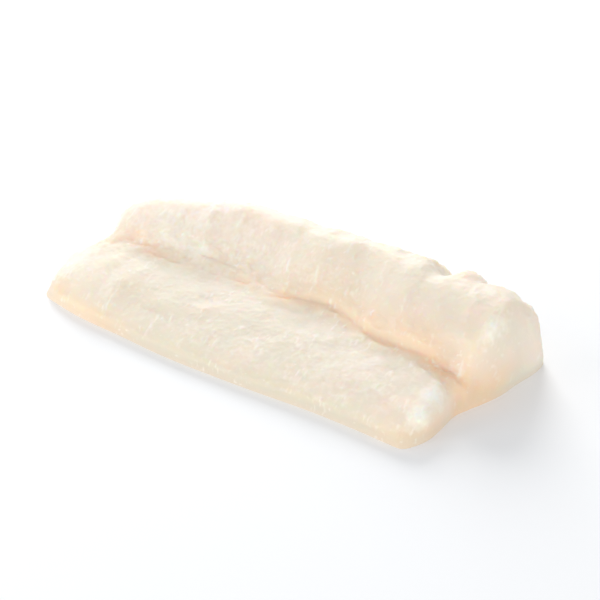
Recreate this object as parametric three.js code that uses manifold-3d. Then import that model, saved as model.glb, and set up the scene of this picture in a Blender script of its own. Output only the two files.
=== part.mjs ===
// A piece of lightly salted cod fillet, raw and skinless, lying on its flat side.
// It is one solid: a thin front lobe and a thick back lobe, with the groove of the bone line between them.
// X runs along the fillet to its cut end, Y from the thin front edge to the thick back, Z is up, in mm.
import * as THREE from "three";
import { ImprovedNoise } from "three/addons/math/ImprovedNoise.js";
import { mergeVertices } from "three/addons/utils/BufferGeometryUtils.js";
import Module from "manifold-3d";

// Sections across the fillet, evenly spaced from the left end to the cut end.
// Edges and groove are mm across from the middle line, the other sizes are mm up from the table.
const section = {
  frontEdge: [-38, -41.5, -42.5, -43.7, -43.1, -41.8, -40, -39.5, -40],
  groove: [-9, -5.5, 2.5, 5, -0.5, 4, -3.5, -3, -5],
  backEdge: [22, 35, 43, 46, 46, 46, 47, 46, 45],
  frontRim: [6.5, 9, 9, 9, 9, 9, 9.5, 10, 11],
  frontCrest: [12, 17.5, 17, 16.5, 16.5, 17, 17.5, 17.5, 17],
  grooveFloor: [12.5, 16.8, 16.6, 16.2, 16.1, 16.2, 16.2, 15.5, 13.5],
  backCrest: [27, 32, 34, 35, 36.8, 38, 38.3, 38.3, 38],
  backRim: [18, 20, 22, 23, 23, 24, 26, 26, 26],
};
// Share of the front lobe's width that drops into the groove, and mm by which the back lobe leans over it.
const ledge = [0.12, 0.1, 0.1, 0.12, 0.12, 0.1, 0.1, 0.14, 0.26];
const overhang = [0, 1, 0.5, 0, 0, 0.3, 0.6, 0.6, 0];

// The two ends, as mm along from the middle, from the front edge to the back edge.
const leftEnd = [-100, -101, -102.5, -104, -95, -93.5, -96.5, -96, -90];
const cutEnd = [85, 88.5, 88.5, 88, 92, 95, 96, 97.5, 97];

// How the two lobes are rounded across, and how steeply the back lobe rises from the groove at each
// section, from a gentle slope (0) to an upright foot (1).
const lobes = { frontCrownShare: 0.85, frontCrown: 0.9, backCrestShare: 0.56, leanShare: 0.4 };
const foot = { gentleEase: 1.1, uprightRoundness: 2.1 };
const steepness = [0, 0, 0, 0.05, 0.15, 0.3, 0.45, 0.6, 0.7];

// The back lobe's upright corner at the cut end is rounded off: how far along and across, in mm.
const corner = { reach: 10, pinch: 8 };

// Muscle blocks of the back lobe: each stands a little proud of the next, along a slanting line.
const muscle = { spacing: 14.5, step: 0.6, slant: 0.35, waver: 3.5, waverSize: 25, edge: 0.25 };
const muscleFrom = { behindGroove: 2, over: 8 };

// Single crags of the back edge, hollows and ridges of the front lobe, and the pit where the groove ends:
// place, rise over the even surface and half-widths, all in mm.
const features = [
  { x: 56.5, y: 36, rise: -4.6, along: 4.2, across: 9 },
  { x: 64, y: 38, rise: 3.4, along: 4.2, across: 8 },
  { x: 48, y: 36, rise: 1.2, along: 5, across: 8 },
  { x: 81, y: 36, rise: 1, along: 4, across: 9 },
  { x: 32, y: 38, rise: 1, along: 5, across: 8 },
  { x: 5, y: 38, rise: 1.8, along: 7, across: 8 },
  { x: -3, y: 36, rise: -0.8, along: 4, across: 7 },
  { x: -66, y: -27, rise: 1.8, along: 5, across: 9 },
  { x: -57, y: -31, rise: -1.5, along: 6, across: 6 },
  { x: -76, y: -20, rise: 1, along: 4, across: 7 },
  { x: -30, y: -17, rise: -1.3, along: 5, across: 4 },
  { x: -25, y: -23, rise: 1, along: 5, across: 5 },
  { x: -44, y: -34, rise: -1, along: 8, across: 3.5 },
  { x: -51, y: 11, rise: 1.2, along: 4, across: 5 },
  { x: 80, y: -2, rise: -3, along: 7, across: 3.5 },
];

// Unevenness: rise and size of the waves, in mm. The last one is only on the ragged back edge.
const waves = { broad: 0.8, broadSize: 18, fine: 0.4, fineSize: 7, ragged: 1.1, raggedSize: 5.5 };
const raggedFrom = { x: -25, overX: 30, y: 24, overY: 8 };
const calm = { below: 4, over: 8 }; // the relief fades out near the table

// The blank that is shaped: a block with rounded edges, and its mesh.
const blank = { length: 200, width: 86, depth: 34 };
const rounding = { leftEnd: 12, cutEnd: 7, front: 8, back: 14, top: 14, underside: 3 };
const tighter = { atTable: 0.35, upTo: 0.6 }; // how much tighter the upright edges are low down, and up to where
const segments = { along: 82, across: 40, up: 7 };
const grooveLine = 18; // the mesh line that runs along the groove
const crowding = 0.35; // how much closer the mesh lines lie there
const pressed = 1.2; // mm of the underside pressed flat by the table

const clamp01 = (t) => Math.min(Math.max(t, 0), 1);
const smooth = (t) => clamp01(t) ** 2 * (3 - 2 * clamp01(t));
const mix = (a, b, t) => a + (b - a) * t;

// Value at a share (0 to 1) of a run of evenly spaced stations, on a smooth curve through them.
function at(stations, share) {
  const place = clamp01(share) * (stations.length - 1);
  const i = Math.min(Math.floor(place), stations.length - 2);
  const t = place - i;
  const p = (k) => stations[Math.min(Math.max(k, 0), stations.length - 1)];
  const slopeIn = (p(i + 1) - p(i - 1)) / 2;
  const slopeOut = (p(i + 2) - p(i)) / 2;
  return (
    (2 * t ** 3 - 3 * t ** 2 + 1) * p(i) +
    (t ** 3 - 2 * t ** 2 + t) * slopeIn +
    (-2 * t ** 3 + 3 * t ** 2) * p(i + 1) +
    (t ** 3 - t ** 2) * slopeOut
  );
}

// Share across the fillet for an even share of the mesh, crowded towards the groove.
function crowd(share) {
  const wave = (t) => Math.sin(2 * Math.PI * (t - grooveLine / segments.across)) / (2 * Math.PI);
  return share - crowding * (wave(share) - wave(0));
}

const grooveShare = crowd(grooveLine / segments.across);

// Place across and height of the front lobe's top, at a share t from its edge to the groove.
function frontLobe(u, t) {
  const crown = Math.sin((Math.PI / 2) * clamp01(t / lobes.frontCrownShare)) ** lobes.frontCrown;
  const top = mix(at(section.frontRim, u), at(section.frontCrest, u), crown);
  const drop = 1 - (1 - clamp01((t - 1) / at(ledge, u) + 1)) ** 3;
  return {
    y: mix(at(section.frontEdge, u), at(section.groove, u), t),
    z: mix(top, at(section.grooveFloor, u), drop),
  };
}

// The same for the back lobe, at a share s from the groove to its edge.
function backLobe(u, s) {
  const y = mix(at(section.groove, u), at(section.backEdge, u), s);
  const crest = lobes.backCrestShare;
  if (s > crest) {
    const fall = ((s - crest) / (1 - crest)) ** 2;
    return { y, z: mix(at(section.backCrest, u), at(section.backRim, u), fall) };
  }
  const n = foot.uprightRoundness;
  const gentle = Math.sin((Math.PI / 2) * (s / crest)) ** foot.gentleEase;
  const upright = (1 - (1 - s / crest) ** n) ** (1 / n);
  const rise = mix(gentle, upright, at(steepness, u));
  const lean = at(overhang, u) * Math.sin(Math.PI * clamp01(s / lobes.leanShare)) ** 2;
  const inCorner = clamp01(1 - ((1 - u) * blank.length) / corner.reach);
  const pinch = corner.pinch * (1 - Math.sqrt(1 - inCorner ** 2)) * (1 - s / crest);
  return { y: y - lean + pinch, z: mix(at(section.grooveFloor, u), at(section.backCrest, u), rise) };
}

// Rounds the edges of the blank, for a point p on its surface.
function roundOff(p) {
  const side = (value, half, rLow, rHigh) => {
    if (value < rLow - half) return [rLow - half, rLow];
    if (value > half - rHigh) return [half - rHigh, rHigh];
    return [value, 1];
  };
  const grow = mix(tighter.atTable, 1, smooth((p.z / blank.depth + 0.5) / tighter.upTo));
  const [qx, rx] = side(p.x, blank.length / 2, rounding.leftEnd * grow, rounding.cutEnd * grow);
  const [qy, ry] = side(p.y, blank.width / 2, rounding.front * grow, rounding.back * grow);
  const [qz, rz] = side(p.z, blank.depth / 2, rounding.underside, rounding.top);
  const n = new THREE.Vector3((p.x - qx) / rx, (p.y - qy) / ry, (p.z - qz) / rz).normalize();
  return new THREE.Vector3(qx + n.x * rx, qy + n.y * ry, qz + n.z * rz);
}

// Takes a point of the rounded blank to its place on the smooth fillet.
function shape(p) {
  const r = roundOff(p);
  const u = r.x / blank.length + 0.5;
  const v = crowd(r.y / blank.width + 0.5);
  const up = r.z / blank.depth + 0.5;
  const onFront = v < grooveShare;
  const top = onFront ? frontLobe(u, v / grooveShare) : backLobe(u, (v - grooveShare) / (1 - grooveShare));
  const baseY = mix(at(section.frontEdge, u), at(section.backEdge, u), v);
  const x = mix(at(leftEnd, v), at(cutEnd, v), u);
  return p.set(x, mix(baseY, top.y, up), top.z * up - pressed);
}

// How far the uneven surface stands out from the smooth one.
const noise = new ImprovedNoise();
const wave = (rise, size, p) => rise * noise.noise(p.x / size, p.y / size, p.z / size);

function relief(p) {
  let out = wave(waves.broad, waves.broadSize, p) + wave(waves.fine, waves.fineSize, p);
  for (const f of features) {
    out += f.rise * Math.exp(-(((p.x - f.x) / f.along) ** 2) - ((p.y - f.y) / f.across) ** 2);
  }
  const u = p.x / blank.length + 0.5;
  const onBack = smooth((p.y - at(section.groove, u) - muscleFrom.behindGroove) / muscleFrom.over);
  const waver = wave(muscle.waver, muscle.waverSize, p);
  const turn = (p.x + muscle.slant * p.y + waver) / muscle.spacing;
  const tooth = turn - Math.floor(turn);
  out += onBack * muscle.step * (tooth - 0.5) * smooth((1 - tooth) / muscle.edge);
  const acrossRagged = smooth((p.y - raggedFrom.y) / raggedFrom.overY);
  const onRaggedEdge = acrossRagged * smooth((p.x - raggedFrom.x) / raggedFrom.overX);
  out += onRaggedEdge * wave(waves.ragged, waves.raggedSize, p);
  return out * smooth((p.z - calm.below) / calm.over);
}

function filletGeometry() {
  const { length, width, depth } = blank;
  const box = new THREE.BoxGeometry(length, width, depth, segments.along, segments.across, segments.up);
  box.deleteAttribute("normal");
  box.deleteAttribute("uv");
  const geometry = mergeVertices(box, 1e-4);
  const points = geometry.getAttribute("position");
  const p = new THREE.Vector3();
  for (let i = 0; i < points.count; i++) {
    shape(p.fromBufferAttribute(points, i));
    points.setXYZ(i, p.x, p.y, p.z);
  }
  geometry.computeVertexNormals();
  const normals = geometry.getAttribute("normal");
  const n = new THREE.Vector3();
  for (let i = 0; i < points.count; i++) {
    p.fromBufferAttribute(points, i);
    p.addScaledVector(n.fromBufferAttribute(normals, i), relief(p));
    points.setXYZ(i, p.x, p.y, p.z);
  }
  geometry.deleteAttribute("normal");
  return geometry;
}

const wasm = await Module();
wasm.setup();

function solidOf(geometry) {
  const { array } = geometry.getAttribute("position");
  return new wasm.Manifold(
    new wasm.Mesh({
      numProp: 3,
      vertProperties: new Float32Array(array),
      triVerts: new Uint32Array(geometry.index.array),
    }),
  );
}

function geometryOf(solid) {
  const cut = solid.getMesh();
  return new THREE.BufferGeometry()
    .setAttribute("position", new THREE.BufferAttribute(cut.vertProperties, 3))
    .setIndex(new THREE.BufferAttribute(cut.triVerts, 1));
}

// Everything under the table's surface is pressed away, so the underside is flat.
function tableSolid() {
  const box = new THREE.BoxGeometry(2 * blank.length, 2 * blank.width, blank.depth);
  box.translate(0, 0, -blank.depth / 2);
  box.deleteAttribute("normal");
  box.deleteAttribute("uv");
  return solidOf(mergeVertices(box, 1e-4));
}

// The origin is the middle of the underside.
function centred(geometry) {
  geometry.computeBoundingBox();
  const middle = geometry.boundingBox.getCenter(new THREE.Vector3());
  geometry.translate(-middle.x, -middle.y, 0);
  geometry.computeVertexNormals();
  return geometry;
}

const flesh = new THREE.MeshStandardMaterial({ color: 0xf1e6d4, roughness: 0.45, metalness: 0 });
const fillet = new THREE.Mesh(centred(geometryOf(solidOf(filletGeometry()).subtract(tableSolid()))), flesh);
fillet.name = "fillet";

const group = new THREE.Group();
group.add(fillet);
export default group;
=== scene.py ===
# A piece of lightly salted cod fillet on a white table, in soft light from behind.
import itertools
import math

import bmesh
import bpy
import numpy as np
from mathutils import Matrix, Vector
from mathutils.bvhtree import BVHTree


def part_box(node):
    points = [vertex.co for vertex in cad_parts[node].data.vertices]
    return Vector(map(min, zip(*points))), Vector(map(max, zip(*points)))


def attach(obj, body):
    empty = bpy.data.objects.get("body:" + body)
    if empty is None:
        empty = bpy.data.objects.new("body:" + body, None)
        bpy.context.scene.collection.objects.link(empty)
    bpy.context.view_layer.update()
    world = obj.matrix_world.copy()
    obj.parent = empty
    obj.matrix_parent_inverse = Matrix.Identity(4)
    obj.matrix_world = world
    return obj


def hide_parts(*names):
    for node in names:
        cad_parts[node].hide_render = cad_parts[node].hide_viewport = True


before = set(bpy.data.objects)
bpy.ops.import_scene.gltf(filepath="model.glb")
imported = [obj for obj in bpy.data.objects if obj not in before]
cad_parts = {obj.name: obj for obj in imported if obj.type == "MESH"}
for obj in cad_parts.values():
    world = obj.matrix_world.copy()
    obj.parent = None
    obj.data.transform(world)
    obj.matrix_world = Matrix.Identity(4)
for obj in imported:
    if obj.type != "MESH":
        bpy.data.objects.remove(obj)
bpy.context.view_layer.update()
mm = 0.001
print("frame loaded")


# small helpers

def linearColor(hexCode):
    # an sRGB hex code as the linear colour that a socket takes
    channels = [int(hexCode[i:i + 2], 16) / 255 for i in (1, 3, 5)]
    linear = [c / 12.92 if c <= 0.04045 else ((c + 0.055) / 1.055) ** 2.4 for c in channels]
    return linear + [1.0]


def addNode(tree, kind, settings=None, links=None):
    node = tree.nodes.new(kind)
    for name, value in (settings or {}).items():
        if isinstance(name, int) or not hasattr(node, name):
            node.inputs[name].default_value = value
        else:
            setattr(node, name, value)
    for name, source in (links or {}).items():
        tree.links.new(source, node.inputs[name])
    return node


def smoothStep(low, high, value):
    t = np.clip((value - low) / (high - low), 0.0, 1.0)
    return t * t * (3 - 2 * t)


def bump(distance, halfWidth):
    return np.exp(-(distance / halfWidth) ** 2)


def spot(places, middle, reach):
    # 1 in the middle, faded out at about twice the reach
    return np.exp(-np.sum(((places - middle) / reach) ** 2, axis=1))


noise = {
    "firstSeed": 40,    # another number gives another fillet's flakes and fibres
    "slopes": 256,      # random slopes that the corners of the grid share
    "gain": 1.6,        # brings the values to about -1 to 1
}


def softNoise(places, size, seed):
    # random values at places in mm, in swells as long as size, one number or three
    draw = np.random.default_rng(noise["firstSeed"] + seed)
    slopes = draw.normal(size=(noise["slopes"], 3))
    slopes /= np.linalg.norm(slopes, axis=1)[:, None]
    order = draw.permutation(noise["slopes"])
    at = places / size
    corner = np.floor(at).astype(int)
    part = at - corner
    ease = part ** 3 * (part * (part * 6 - 15) + 10)  # level at both corners
    total = np.zeros(len(places))
    for step in itertools.product((0, 1), repeat=3):
        x, y, z = ((corner + step) % noise["slopes"]).T
        pick = order[(order[x] + y) % noise["slopes"]]
        slope = slopes[order[(pick + z) % noise["slopes"]]]
        share = np.prod(np.where(step, ease, 1 - ease), axis=1)
        total += share * np.sum(slope * (part - step), axis=1)
    return noise["gain"] * total


def twoNoises(places, size, fine, seed):
    # a noise with a finer one on it, whose height and size are shares of the first one's
    height, share = fine
    return softNoise(places, size, seed) + height * softNoise(places, size * share, seed + 1)


def patches(places, spec, seed):
    # 0 to 1 in patches: their size in mm, and where in the noise they start and are full
    size, start, full = spec
    return smoothStep(start, full, softNoise(places, size, seed))


# the fillet's fine skin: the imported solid, remeshed finely, with flakes, fibres and crags raised
# on it. Lengths are in mm, and patches are a size with the start and the full level of a noise

flesh = {
    "cell": 0.63,                       # between the fine mesh's points
    "merge": 0.001,                     # the solid's loose triangles are joined within this
    "rimMerge": 0.1,                    # and the cut at the table within this
    "soleLevel": 0.01,                  # faces under this are the flat underside
    "soleDrop": 4,                      # the underside is drawn down so far for the remesh
    "softening": (0.5, 3),              # strength and rounds of the smoothing after it
    "reliefFrom": (2.0, 6.0),           # over the table, where the relief starts and is full
    "endFacing": (0.6, 0.9),            # how far the smooth cut end faces right: start and full
    "endCalm": 0.7,                     # share of the relief that the cut end lacks
    "sag": 0.3,                         # the soft flesh spreads so far at the table
    "sagBelow": 2.5,
    "sagFacing": 0.2,                   # and less where it faces sideways less than this

    # how the groove's bottom line is felt out on the solid, from the cut end to the left
    "feelStart": -6,                    # across, where the groove lies at the cut end
    "feelMargin": 9,                    # left out at each end
    "feelStep": 1.5,
    "feelReach": 2.5,                   # to each side of the bottom found last
    "feelGrid": 0.25,
    "feelEvened": 7,                    # neighbours in one average

    # muscle blocks, which step along the back lobe, with pale seams between them
    "blockSpacing": 14.5,
    "blockLean": 0.35,                  # mm to the left for each mm to the back
    "blockWaver": ((1.6, 22), (0.7, 6)),    # how far a seam wanders, over which length
    "blockStep": 0.12,
    "blockFall": 0.1,                   # share of the spacing in which a step falls
    "backFrom": 5,                      # behind the groove, where the steps are full
    "seamRise": 0.25,
    "seamWidth": 0.7,
    "seamPatches": (7, 0.0, 0.5),
    "seamBand": (12, 10),               # middle and reach of their band behind the groove

    # thin layers that have broken off along ragged lines
    "flakeRise": 0.12,
    "flakeMean": 0.3,                   # taken off, so that the flesh keeps its thickness
    "flakeSize": (17, 11, 13),
    "flakeTear": (0.25, 4),             # height, as a share, and size of the raggedness
    "flakeWarp": 1.5,                   # how far slow swells bend them
    "flakeLayers": 2.6,
    "flakeFall": 0.18,                  # share of a layer in which its edge falls
    "flakePatches": (19, -0.2, 0.3),
    "warpSize": 9,                      # those swells

    # torn fibre ends that lie across the lobes, fewer on the back one
    "strandRise": 0.22,
    "strandMean": 0.2,
    "strandSize": (1.1, 4.5, 3.0),
    "strandWarp": 0.8,
    "strandLean": 0.15,                 # mm to the right for each mm towards the front
    "strandGain": 1.8,                  # how sharply a fibre rises
    "strandLevel": 0.25,                # more leaves fewer of them
    "strandPatches": (10, -0.2, 0.3),
    "strandBackLoss": 0.3,

    # low lumps, the grain of the moist surface, and small raised specks, painted pale as glints on
    # the wet grain
    "lumpRise": 0.1,
    "lumpSize": 6.5,
    "lumpFine": (0.5, 0.45),            # finer ones on them: height and size as shares
    "grainRise": 0.12,
    "grainSize": 1.9,
    "grainFine": (0.6, 0.55),
    "speckRise": 0.12,
    "specks": (1.7, 0.5, 0.75),
    "speckPatches": (14, 0.0, 0.4),

    # broken flakes along the back edge, which run a little way down the back
    "cragRise": 0.88,
    "cragMean": 0.25,
    "cragSize": (3.8, 8.0, 9.0),
    "cragFineSize": 2.4,
    "cragAcross": (27, 37),             # where they start and are full
    "cragAlong": (-40, 10),
    "cragUp": (14, 30),
    "cragLow": 0.3,                     # their share low on the back

    # the groove between the lobes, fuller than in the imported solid
    "grooveFill": ((5, 2.6), (35, 2.3), (75, 2.7)),     # along, and how far the bottom is lifted
    "grooveWidth": 4.0,
    "grooveFillUp": (6, 10),            # over the table, where the fill starts and is full
    "grooveTear": (1.3, 4.5),           # how far its lips wander, over which length
    "footShift": 2,                     # the back lobe's foot lies so far behind the bottom
    "footShiftAt": (-38, 20),           # middle and reach of that stretch
    "creaseDepth": 0.1,                 # the bone line's open part
    "creaseWidth": 0.7,
    "creaseAlong": (15, 30),

    # short tears with a raised lip: start and end seen from above, and depth
    "tearWidth": 0.7,
    "lipRise": 0.7,                     # share of the tear's depth
    "lipWidth": 1.8,
    "tearWander": (1.2, 6),             # how far a tear wanders, over which length
    "tears": [
        ((-67, -9.5), (-47, -5), 0.4),
        ((-47, -5), (-26, -3), 0.25),
        ((-24, -3), (-15, -2), 0.5),
        ((-3, -4), (7, -3.5), 0.45),
        ((-45, -35), (-27, -37), 0.2),
        ((-32, -17), (-22, -24), 0.1),
        ((-62, -29), (-59, -44), -0.3),
        ((-75, -22), (-66, -30), -0.25),
        ((-5, -22), (8, -31), 0.15),
        ((22, -14), (34, -22), 0.15),
    ],

    # hollows and a lump of the solid that are evened out: middle seen from above, reach, height
    "swells": [
        ((-52, -30), (14, 9), 1.2),
        ((-53, -32), (6, 5.5), 0.8),
        ((-62, -31), (4, 8), -0.5),
        ((-28.5, -19), (5, 5), 0.9),
        ((-48, 0), (12, 5), 0.9),
    ],

    # shares of the tints that follow the shape, most of them painted shade and light
    # pale fibre ends, partly the flesh's own tone and partly painted glints on the wet fibres
    "strandPalenessAndGlint": 0.9,
    "grainPaleness": 0.4,
    # painted warm shade along the groove's bottom
    "grooveShadeWarmth": 0.7,
    "grooveShadeReach": (4, 8),          # in front of the groove's bottom, and behind it
    "grooveShadeLeft": 0.35,             # share of that painted warm shade at the groove's left end
    "grooveShadeAlong": (-20, 30),
    # painted warm shade low on the flesh, by the table
    "tableShadeWarmth": 0.15,
    "tableShadeBelow": 3.5,
    "edgeShadeFacing": (0.3, 0.9),           # how far the painted olive shade on the low front edge faces the front
    "edgeShadeBelow": (9, 5),
    "edgeShadeAlong": (-80, -50),
    "shallowBelow": 6,                  # light goes in less deep under this height

    # tinted places: tint, middle, reach, strength. Many are painted light and shade, as the notes
    # say
    "tintSpots": [
        # painted warm shade low on the front edge at the left tip, by the table
        ("warmShade", (-90, -39, 5), (9, 6, 6), 0.6),
        ("warmShade", (-76, -43, 4), (12, 5, 5), 0.65),
        ("warmShade", (-60, -45, 3), (12, 4, 4), 0.6),
        # painted warm shade under the back lobe's overhang at its left foot
        ("warmShade", (-62, -7.5, 16.5), (7, 3, 3), 0.5),
        ("warmShade", (-73, -4, 19), (8, 4, 5), 0.4),
        # painted light that lifts the shade at the back lobe's left foot
        ("paleAndLit", (-62, 0, 21), (12, 6, 5), 0.4),
        ("paleAndLit", (-50, -1, 17.5), (12, 4, 4), 0.5),
        # painted warm shade along the groove
        ("warmShade", (-50, -6, 16), (10, 3, 3), 0.3),
        ("warmShade", (-20, -2.5, 15), (5, 3, 4), 0.5),
        ("warmShade", (3, -3.5, 15), (5, 2.5, 3), 0.5),
        ("warmShade", (80, -5, 13), (9, 4, 4), 0.5),
        # painted warm shade in a small hollow of the front lobe
        ("warmShade", (-56, -30, 12), (5, 4, 4), 0.12),
        # painted warm shade low on the cut end
        ("warmShade", (95, -2, 3), (10, 12, 8), 1.0),
        ("warmShade", (98, 10, 10), (8, 10, 8), 0.6),
        # painted warm shade low on the front lobe's end, by the table
        ("warmShade", (90, -28, 4), (6, 9, 5), 0.8),
        ("greenAndShade", (90, -36, 6), (8, 8, 6), 0.7),
        # painted warm shade low on the front lobe's end, by the table
        ("warmShade", (84, -40, 3), (12, 5, 4), 0.45),
        # painted light on the left tip's top, which faces the light
        ("paleAndLit", (-93, -22, 11), (9, 12, 8), 1.1),
        ("paleAndLit", (-64, -34, 13), (4, 8, 4), 0.6),
        # painted light on the back lobe's left end, which faces the light
        ("paleAndLit", (-72, 20, 25), (32, 22, 18), 1.0),
        ("paleAndLit", (-45, 3, 18), (4, 4, 3), 0.7),
        # painted highlight along the cut end's top edge
        ("paleAndLit", (94, 10, 30), (3, 10, 6), 1.3),
        ("paleAndLit", (84, -5, 14), (8, 4, 4), 0.6),
        # painted highlights: two wet glints on the front lobe's cut corner
        ("paleAndLit", (87.8, -22, 14.5), (4.5, 5.5, 5), 1.9),
        ("paleAndLit", (88.5, -33, 12), (4, 4.5, 5), 2.0),
        ("pink", (-50, 30, 32), (45, 18, 14), 0.7),
        ("pink", (-20, 8, 25), (30, 12, 10), 0.3),
        ("paleAndLit", (-20, 10, 26), (50, 14, 12), 0.4),
        ("pink", (52, -27, 15), (16, 9, 8), 0.3),
        # painted light that lifts the shade on the front lobe's right part
        ("paleAndLit", (50, -24, 15), (26, 12, 9), 0.5),
        ("pink", (100, 33, 13), (3, 6, 10), 0.6),
        ("paleAndLit", (0, -37, 10), (70, 8, 6), 0.35),
        ("greenAndShade", (-10, -24, 14), (60, 14, 9), 0.45),
        ("greenAndShade", (-14, 13, 27), (8, 6, 8), 0.4),
        # greenish tone on the back edge's crest, partly its own grey-green and partly painted
        # shade that tones down the light from behind
        ("greenAndShade", (-2, 24, 35), (16, 8, 6), 0.8),
        ("greenAndShade", (49, 30, 36), (12, 9, 6), 0.7),
        ("greenAndShade", (78, 33, 34), (20, 8, 8), 0.5),
        ("greenAndShade", (30, 7, 25), (8, 6, 6), 0.4),
    ],
}


def newObject(name, bm):
    mesh = bpy.data.meshes.new(name)
    bm.to_mesh(mesh)
    bm.free()
    piece = bpy.data.objects.new(name, mesh)
    bpy.context.scene.collection.objects.link(piece)
    return piece


def settle(piece):
    # takes the modifiers' result as the piece's own mesh
    bpy.context.view_layer.update()
    shaped = piece.evaluated_get(bpy.context.evaluated_depsgraph_get())
    mesh = bpy.data.meshes.new_from_object(shaped)
    piece.modifiers.clear()
    piece.data = mesh


def readGroove(bm, low, high):
    # the bottom line between the two lobes, in mm, felt out on the solid from above
    solid = BVHTree.FromBMesh(bm)
    margin, reach, grid = flesh["feelMargin"] * mm, flesh["feelReach"], flesh["feelGrid"]
    alongX = np.arange(high.x - margin, low.x + margin, -flesh["feelStep"] * mm)
    bottom = flesh["feelStart"] * mm
    found = []
    for x in alongX:
        spots = bottom + np.arange(-reach, reach + grid / 2, grid) * mm
        heights = [solid.ray_cast(Vector((x, y, 1)), Vector((0, 0, -1)))[0].z for y in spots]
        bottom = spots[int(np.argmin(heights))]
        found.append(bottom)
    count = flesh["feelEvened"]
    padded = np.pad(found, count // 2, mode="edge")
    even = np.convolve(padded, np.ones(count) / count, mode="valid")
    return alongX[::-1] / mm, even[::-1] / mm


def tearRelief(p):
    # the tears' depth and lips
    wander, size = flesh["tearWander"]
    rise = np.zeros(len(p))
    for start, end, depth in flesh["tears"]:
        a, run = np.array(start), np.subtract(end, start)
        off = p[:, :2] - a + softNoise(p, size, 21)[:, None] * wander
        along = np.clip(off @ run / (run @ run), 0, 1)
        gap = np.linalg.norm(off - along[:, None] * run, axis=1)
        side = np.sign(off[:, 0] * run[1] - off[:, 1] * run[0]) * gap
        fade = np.sqrt(np.clip(np.sin(np.pi * along), 0, 1))
        lip = flesh["lipRise"] * bump(side - flesh["lipWidth"], flesh["lipWidth"])
        rise += depth * fade * (lip - bump(side, flesh["tearWidth"]))
    return rise


def blockRelief(p, distance, onBack):
    # the blocks' steps, -0.5 to 0.5, and their seams, 0 to 1
    (wide, wideSize), (short, shortSize) = flesh["blockWaver"]
    waver = wide * softNoise(p, wideSize, 4) + short * softNoise(p, shortSize, 5)
    turn = (p[:, 0] + flesh["blockLean"] * p[:, 1] + waver) / flesh["blockSpacing"]
    tooth = turn - np.floor(turn)
    steps = (tooth - 0.5) * smoothStep(0, flesh["blockFall"], 1 - tooth) * onBack
    middle, reach = flesh["seamBand"]
    patchy = patches(p, flesh["seamPatches"], 6) * bump(distance - middle, reach)
    fromSeam = np.minimum(tooth, 1 - tooth) * flesh["blockSpacing"]
    return steps, bump(fromSeam, flesh["seamWidth"]) * patchy


def fleshRelief(p, distance):
    # mm by which the torn surface stands out at places p in mm, and how pale it is there
    x, y, z = p.T
    onBack = smoothStep(0, flesh["backFrom"], distance)
    warp = np.stack([softNoise(p, flesh["warpSize"], seed) for seed in (1, 2, 3)], axis=1)
    steps, seams = blockRelief(p, distance, onBack)

    tear, tearSize = flesh["flakeTear"]
    layer = softNoise(p + flesh["flakeWarp"] * warp, flesh["flakeSize"], 7)
    layer = (layer + tear * softNoise(p, tearSize, 8)) * flesh["flakeLayers"]
    edge = layer - np.floor(layer)
    flakes = edge * smoothStep(0, flesh["flakeFall"], 1 - edge)
    flakes *= patches(p, flesh["flakePatches"], 9)

    slanted = p + flesh["strandWarp"] * warp
    slanted[:, 0] += flesh["strandLean"] * slanted[:, 1]
    streak = softNoise(slanted, flesh["strandSize"], 10)
    strands = np.clip(flesh["strandGain"] * streak - flesh["strandLevel"], 0, 1)
    strands *= patches(p, flesh["strandPatches"], 11) * (1 - flesh["strandBackLoss"] * onBack)

    lumps = twoNoises(p, flesh["lumpSize"], flesh["lumpFine"], 12)
    grain = twoNoises(p, flesh["grainSize"], flesh["grainFine"], 14)
    specks = patches(p, flesh["specks"], 18) * patches(p, flesh["speckPatches"], 19)
    swell = sum(most * spot(p[:, :2], at, reach) for at, reach, most in flesh["swells"])

    low = flesh["cragLow"]
    ragged = smoothStep(*flesh["cragAcross"], y) * smoothStep(*flesh["cragAlong"], x)
    ragged *= low + (1 - low) * smoothStep(*flesh["cragUp"], z)
    crag = np.abs(softNoise(p, flesh["cragSize"], 16)) + softNoise(p, flesh["cragFineSize"], 17)
    crease = bump(distance, flesh["creaseWidth"]) * smoothStep(*flesh["creaseAlong"], x)

    rise = (
        flesh["blockStep"] * steps
        + flesh["seamRise"] * seams
        + flesh["flakeRise"] * (flakes - flesh["flakeMean"])
        + flesh["strandRise"] * (strands - flesh["strandMean"])
        + flesh["lumpRise"] * lumps
        + flesh["grainRise"] * grain
        + flesh["speckRise"] * specks
        + flesh["cragRise"] * (crag - flesh["cragMean"]) * ragged
        - flesh["creaseDepth"] * crease
        + tearRelief(p)
        + swell
    )
    # pale seams and grain are the flesh's own tone; the pale fibre ends are partly, and the pale
    # specks wholly, painted glints on the wet surface
    paleness = seams + flesh["strandPalenessAndGlint"] * strands + flesh["grainPaleness"] * grain + specks
    return rise, paleness


def raisedFlesh(p, normals, distance, rise):
    # where the points at places p in mm end up
    x, z = p[:, 0], p[:, 2]
    cutEnd = smoothStep(*flesh["endFacing"], normals[:, 0])
    fade = smoothStep(*flesh["reliefFrom"], z) * (1 - flesh["endCalm"] * cutEnd)
    raised = p + normals * (rise * fade)[:, None]

    filling = np.interp(x, *zip(*flesh["grooveFill"]))
    middle, reach = flesh["footShiftAt"]
    foot = flesh["footShift"] * bump(x - middle, reach)
    tear, tearSize = flesh["grooveTear"]
    torn = distance - foot + tear * softNoise(p, tearSize, 23)
    filling *= bump(torn, flesh["grooveWidth"])
    raised[:, 2] += filling * smoothStep(*flesh["grooveFillUp"], z)

    sideways = np.linalg.norm(normals[:, :2], axis=1)
    outward = normals[:, :2] / np.maximum(sideways, flesh["sagFacing"])[:, None]
    raised[:, :2] += flesh["sag"] * outward * smoothStep(flesh["sagBelow"], 0, z)[:, None]
    return raised


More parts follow.
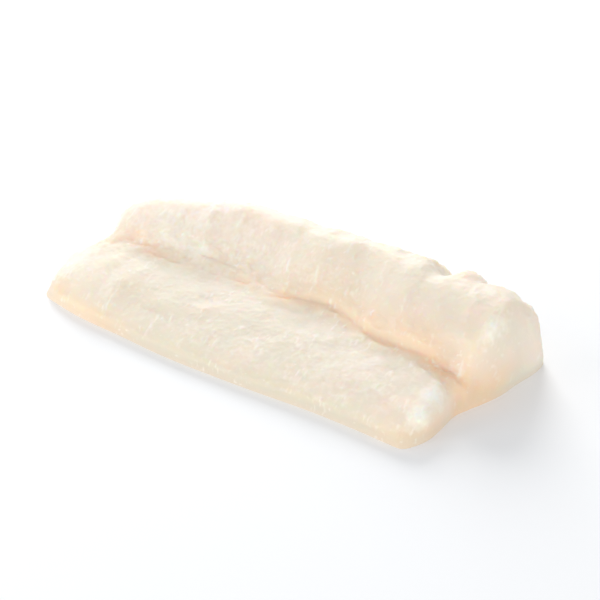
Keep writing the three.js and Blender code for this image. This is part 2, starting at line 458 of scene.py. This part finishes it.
def tintSpotShare(p, name):
    share = np.zeros(len(p))
    for tint, middle, reach, strength in flesh["tintSpots"]:
        if tint == name:
            share += strength * spot(p, middle, reach)
    return share


def fleshTints(p, normals, distance, paleness):
    # what the material reads at each point: paleness with painted light and highlights, painted
    # warm shade, pink and green tones with painted shade on the back edge, painted olive shade on
    # the low front edge, and how deep light goes in
    x, z = p[:, 0], p[:, 2]
    # painted warm shade along the groove, weaker at its left end
    front, behind = flesh["grooveShadeReach"]
    left = flesh["grooveShadeLeft"]
    grooveShade = bump(np.maximum(distance / behind, -distance / front), 1)
    grooveShade *= left + (1 - left) * smoothStep(*flesh["grooveShadeAlong"], x)
    # painted warm shade low by the table
    tableShade = smoothStep(flesh["tableShadeBelow"], 0, z)
    # painted olive shade on the low front edge at the left
    oliveEdgeShade = smoothStep(*flesh["edgeShadeFacing"], -normals[:, 1])
    oliveEdgeShade *= smoothStep(*flesh["edgeShadeBelow"], z) * smoothStep(*flesh["edgeShadeAlong"], x)
    shadeWarmth = flesh["grooveShadeWarmth"] * grooveShade + flesh["tableShadeWarmth"] * tableShade
    return {
        "paleAndLit": paleness + tintSpotShare(p, "paleAndLit"),
        "warmShade": tintSpotShare(p, "warmShade") + shadeWarmth,
        "pink": tintSpotShare(p, "pink"),
        "greenAndShade": tintSpotShare(p, "greenAndShade"),
        "oliveEdgeShade": oliveEdgeShade,
        "depth": smoothStep(0, flesh["shallowBelow"], z),
    }


def evenSkin(solid):
    # the flat underside is drawn down first, so that the remesh can't round the edge at the table
    level = flesh["soleLevel"] * mm
    sole = [f for f in solid.faces if max(v.co.z for v in f.verts) < level]
    drawn = bmesh.ops.extrude_face_region(solid, geom=sole)["geom"]
    bmesh.ops.delete(solid, geom=sole, context="FACES_ONLY")
    lower = [part for part in drawn if isinstance(part, bmesh.types.BMVert)]
    bmesh.ops.translate(solid, vec=(0, 0, -flesh["soleDrop"] * mm), verts=lower)
    fillet = newObject("codFillet", solid)
    remesh = fillet.modifiers.new("even skin", "REMESH")
    remesh.mode = "VOXEL"
    remesh.voxel_size = flesh["cell"] * mm
    remesh.use_smooth_shade = True
    soften = fillet.modifiers.new("softened", "SMOOTH")
    soften.factor, soften.iterations = flesh["softening"]
    settle(fillet)
    return fillet


def closeUnderside(mesh):
    # cuts the drawn-down part off at the table and closes the cut with a plain face
    fine = bmesh.new()
    fine.from_mesh(mesh)
    every = fine.verts[:] + fine.edges[:] + fine.faces[:]
    bmesh.ops.bisect_plane(
        fine, geom=every, plane_co=(0, 0, 0), plane_no=(0, 0, 1), clear_inner=True,
    )
    atCut = [v for v in fine.verts if v.is_boundary]
    bmesh.ops.remove_doubles(fine, verts=atCut, dist=flesh["rimMerge"] * mm)
    rim = [e for e in fine.edges if e.is_boundary]
    underside = bmesh.ops.holes_fill(fine, edges=rim, sides=0)
    bmesh.ops.triangulate(fine, faces=underside["faces"])
    for edge in rim:
        edge.smooth = False
    fine.to_mesh(mesh)
    fine.free()
    mesh.shade_smooth()


def makeFillet():
    solid = bmesh.new()
    solid.from_mesh(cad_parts["fillet"].data)
    bmesh.ops.remove_doubles(solid, verts=solid.verts, dist=flesh["merge"] * mm)
    grooveX, grooveY = readGroove(solid, *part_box("fillet"))
    fillet = evenSkin(solid)
    mesh = fillet.data
    count = len(mesh.vertices)
    print("fillet remeshed:", count, "points")

    places, normals = np.empty(count * 3), np.empty(count * 3)
    mesh.vertices.foreach_get("co", places)
    mesh.vertices.foreach_get("normal", normals)
    p, normals = places.reshape(-1, 3) / mm, normals.reshape(-1, 3)
    distance = p[:, 1] - np.interp(p[:, 0], grooveX, grooveY)  # behind the groove, in mm
    rise, paleness = fleshRelief(p, distance)
    raised = raisedFlesh(p, normals, distance, rise)
    mesh.vertices.foreach_set("co", (raised * mm).ravel())
    for name, share in fleshTints(p, normals, distance, paleness).items():
        mesh.attributes.new(name, "FLOAT", "POINT").data.foreach_set("value", share)
    print("flakes and fibres raised")

    closeUnderside(mesh)
    triangles = sum(len(f.vertices) - 2 for f in mesh.polygons)
    print("underside made plain:", triangles, "triangles")
    return fillet


# raw cod: moist translucent muscle, so light goes in, spreads and comes back warm, under a thin
# wet sheen

cod = {
    "cream": "#ede2d0",
    "greenish": "#e3dbc9",
    "pinkish": "#f6e3d4",
    # olive and peach are painted shade: olive on the low front edge, peach in the groove, under
    # the overhang, on the cut end and by the table
    "shadeOlive": "#dacdb8",
    "shadePeach": "#f8d4b0",
    # white is the flesh's pale seams and fibres and also painted light; frost is a painted
    # highlight
    "white": "#fcf4e9",
    "highlightWhite": "#fff9f0",
    "ior": 1.38,                    # wet muscle
    "roughness": (0.55, 0.77),      # from moist places to dry ones
    "moistPatch": 5,                # mm
    "moistRange": (0.35, 0.7),      # where in the noise a place is moist, and dry
    "wetness": 0.15,                # share of the surface under a film of water
    "filmRoughness": 0.3,
    "filmIor": 1.33,                # water
    "scatter": (9.0, 5.4, 3.2),     # mm that red, green and blue light travel inside
    "grain": 0.9,                   # mm, coarser than the real fibre ends, so that it shows
    "grainDepth": 0.25,             # mm
    "grainStrength": 0.35,
    "grainFine": 0.6,               # share of the finer grain in it
    "detail": 3.0,                  # halvings of each pattern's size
    # colour over those before it, what its share follows (a noise of so many mm, or what the
    # mesh carries), where the share starts and is full, and its most
    "layers": [
        ("greenish", 24, 0.42, 0.65, 0.4),
        ("pinkish", 13, 0.52, 0.7, 0.6),
        ("pinkish", "pink", 0.0, 1.0, 0.9),
        ("greenish", "greenAndShade", 0.0, 1.0, 0.9),
        # the olive and peach layers paint shade, the white layer is pale flesh and painted light,
        # the frost layer paints highlights
        ("shadeOlive", "oliveEdgeShade", 0.0, 1.0, 0.6),
        ("shadePeach", "warmShade", 0.0, 1.0, 0.8),
        ("white", "paleAndLit", 0.2, 1.1, 0.6),
        ("highlightWhite", "paleAndLit", 1.1, 2.2, 0.9),
    ],
}


def rawCod():
    material = bpy.data.materials.new("rawCod")
    material.use_nodes = True
    tree = material.node_tree
    tree.nodes.clear()
    place = {"Vector": addNode(tree, "ShaderNodeTexCoord").outputs["Object"]}

    base = addNode(tree, "ShaderNodeRGB")
    base.outputs[0].default_value = linearColor(cod["cream"])
    color = base.outputs[0]
    for name, source, start, full, most in cod["layers"]:
        if isinstance(source, str):
            share = addNode(tree, "ShaderNodeAttribute", {"attribute_name": source})
        else:
            pattern = {"Scale": 1 / (source * mm), "Detail": cod["detail"]}
            share = addNode(tree, "ShaderNodeTexNoise", pattern, place)
        amount = addNode(
            tree, "ShaderNodeMapRange",
            {"From Min": start, "From Max": full, "To Max": most},
            {"Value": share.outputs["Fac"]},
        )
        layer = addNode(
            tree, "ShaderNodeMix",
            {"data_type": "RGBA", 7: linearColor(cod[name])},
            {0: amount.outputs["Result"], 6: color},
        )
        color = layer.outputs[2]

    # how deep light goes in: less near the table, where the flesh would lose it to the underside
    depth = addNode(tree, "ShaderNodeAttribute", {"attribute_name": "depth"})
    grainScale = 1 / (cod["grain"] * mm)
    grain = addNode(
        tree, "ShaderNodeTexNoise",
        {"Scale": grainScale, "Detail": cod["detail"], "Roughness": cod["grainFine"]}, place,
    )
    raised = addNode(
        tree, "ShaderNodeBump",
        {"Strength": cod["grainStrength"], "Distance": cod["grainDepth"] * mm},
        {"Height": grain.outputs["Fac"]},
    )
    patch = addNode(
        tree, "ShaderNodeTexNoise",
        {"Scale": 1 / (cod["moistPatch"] * mm), "Detail": cod["detail"]}, place,
    )
    (moistAt, dryAt), (moist, dry) = cod["moistRange"], cod["roughness"]
    dullness = addNode(
        tree, "ShaderNodeMapRange",
        {"From Min": moistAt, "From Max": dryAt, "To Min": moist, "To Max": dry},
        {"Value": patch.outputs["Fac"]},
    )
    farthest = cod["scatter"][0]
    shader = addNode(
        tree, "ShaderNodeBsdfPrincipled",
        {
            "IOR": cod["ior"],
            "Subsurface Radius": [reach / farthest for reach in cod["scatter"]],
            "Subsurface Scale": farthest * mm,
            "Coat Weight": cod["wetness"],
            "Coat Roughness": cod["filmRoughness"],
            "Coat IOR": cod["filmIor"],
        },
        {
            "Base Color": color,
            "Roughness": dullness.outputs["Result"],
            "Subsurface Weight": depth.outputs["Fac"],
            "Normal": raised.outputs["Normal"],
            "Coat Normal": raised.outputs["Normal"],
        },
    )
    addNode(tree, "ShaderNodeOutputMaterial", None, {"Surface": shader.outputs["BSDF"]})
    return material


fillet = makeFillet()
fillet.data.materials.clear()
fillet.data.materials.append(rawCod())
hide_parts("fillet")
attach(fillet, "root")
print("fillet finished")


# table, light and camera: metres, degrees and watts

studio = {
    "table": "#fbfbfb",
    "tableRoughness": 0.9,
    "tableShine": 0.1,
    "tableSize": 3.0,
    "air": "#f8fbff",
    "ambient": 0.61,
    "lamps": {
        "key": {"azimuth": 217, "height": 30, "distance": 0.9, "size": 0.5, "power": 5.9},
        "fill": {"azimuth": 26, "height": 16, "distance": 1.2, "size": 1.2, "power": 1.2},
        "front": {"azimuth": 20, "height": 35, "distance": 0.9, "size": 0.8, "power": 0.5},
        "leftFill": {"azimuth": 335, "height": 14, "distance": 0.9, "size": 0.3, "power": 1.7},
        "rightFill": {"azimuth": 60, "height": 10, "distance": 0.9, "size": 0.3, "power": 1.3},
        "side": {"azimuth": 290, "height": 20, "distance": 0.9, "size": 0.4, "power": 1.0},
    },
}

view = {
    "azimuth": 36.5,
    "height": 32,
    "distance": 0.943,
    "lens": 134.9,      # mm
    "target": (-0.0074, 0.0212, 0.0),
    "nearest": 0.01,
}


def around(azimuth, height):
    # direction from the object for an azimuth (0 looks along +Y) and a height in degrees
    a, h = math.radians(azimuth), math.radians(height)
    return Vector((math.sin(a) * math.cos(h), -math.cos(a) * math.cos(h), math.sin(h)))


def makeTable():
    bm = bmesh.new()
    bmesh.ops.create_grid(bm, x_segments=1, y_segments=1, size=studio["tableSize"] / 2)
    table = newObject("table", bm)
    material = bpy.data.materials.new("whiteLaminate")  # smooth matt laminate, evenly bright
    material.use_nodes = True
    shader = material.node_tree.nodes["Principled BSDF"]
    shader.inputs["Base Color"].default_value = linearColor(studio["table"])
    shader.inputs["Roughness"].default_value = studio["tableRoughness"]
    shader.inputs["Specular IOR Level"].default_value = studio["tableShine"]
    table.data.materials.append(material)


def makeLamp(name, spec):
    lamp = bpy.data.lights.new(name, "AREA")
    lamp.shape = "DISK"
    lamp.size = spec["size"]
    lamp.energy = spec["power"]
    holder = bpy.data.objects.new(name, lamp)
    direction = around(spec["azimuth"], spec["height"])
    holder.location = direction * spec["distance"]
    holder.rotation_euler = direction.to_track_quat("Z", "Y").to_euler()
    bpy.context.scene.collection.objects.link(holder)


def makeCamera():
    camera = bpy.data.objects.new("camera", bpy.data.cameras.new("camera"))
    camera.data.lens = view["lens"]
    camera.data.clip_start = view["nearest"]
    direction = around(view["azimuth"], view["height"])
    camera.location = Vector(view["target"]) + direction * view["distance"]
    camera.rotation_euler = direction.to_track_quat("Z", "Y").to_euler()
    bpy.context.scene.collection.objects.link(camera)
    bpy.context.scene.camera = camera


def lightRoom():
    world = bpy.data.worlds.new("studio")
    world.use_nodes = True
    background = world.node_tree.nodes["Background"]
    background.inputs["Color"].default_value = linearColor(studio["air"])
    background.inputs["Strength"].default_value = studio["ambient"]
    bpy.context.scene.world = world
    bpy.context.scene.view_settings.view_transform = "Standard"


makeTable()
for name, spec in studio["lamps"].items():
    makeLamp(name, spec)
lightRoom()
makeCamera()
print("table, light and camera set")
